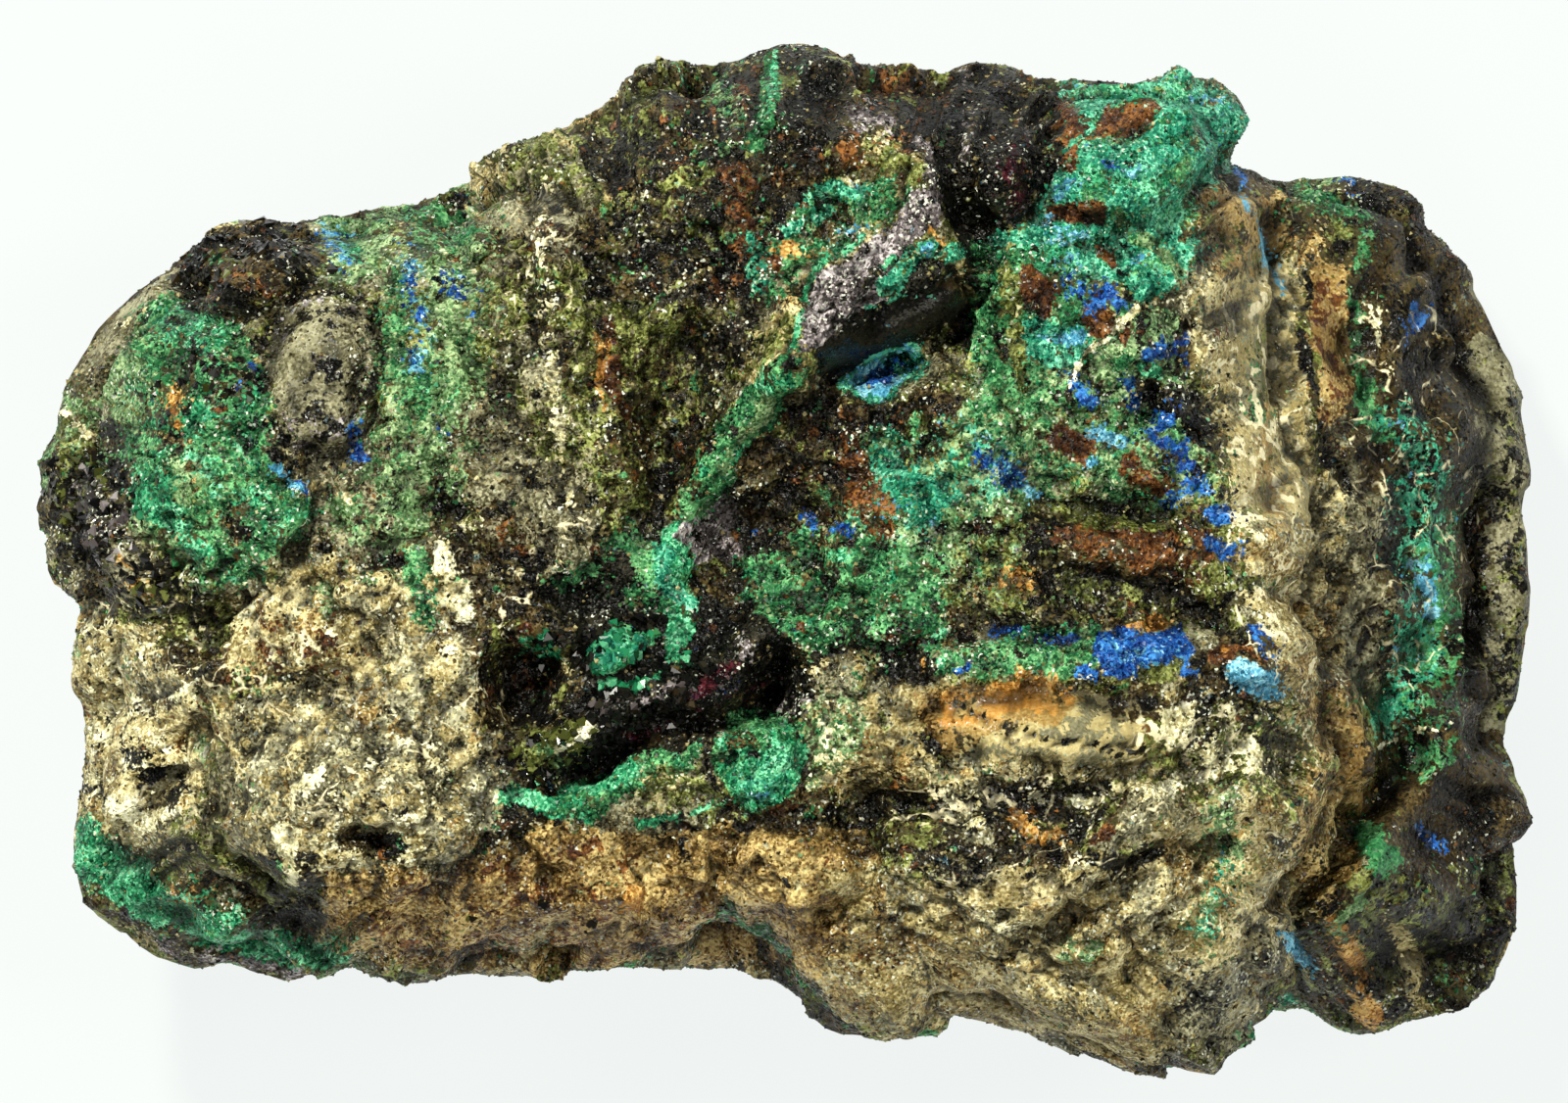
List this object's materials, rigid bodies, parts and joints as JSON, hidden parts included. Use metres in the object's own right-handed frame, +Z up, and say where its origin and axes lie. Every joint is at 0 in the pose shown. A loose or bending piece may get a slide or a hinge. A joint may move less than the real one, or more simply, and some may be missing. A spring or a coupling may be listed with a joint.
{
  "type": "azurite specimen",
  "caption": "Rough hand-sized piece of copper ore: brown rock crusted with green malachite and patches of blue azurite, lying on its flattest face.",
  "frame": {"origin": "middle of the bounding box's base, on the resting face", "axes": "+X along the stone's length towards its lower end, +Z up out of the crusted face, +Y across"},
  "size_m": [0.0764, 0.0528, 0.034],
  "materials": {
    "stone": "rough weathered rock with glittering green and blue crusts"
  },
  "bodies": {
    "root": {"azurite_stone": "stone"}
  },
  "joints": []
}
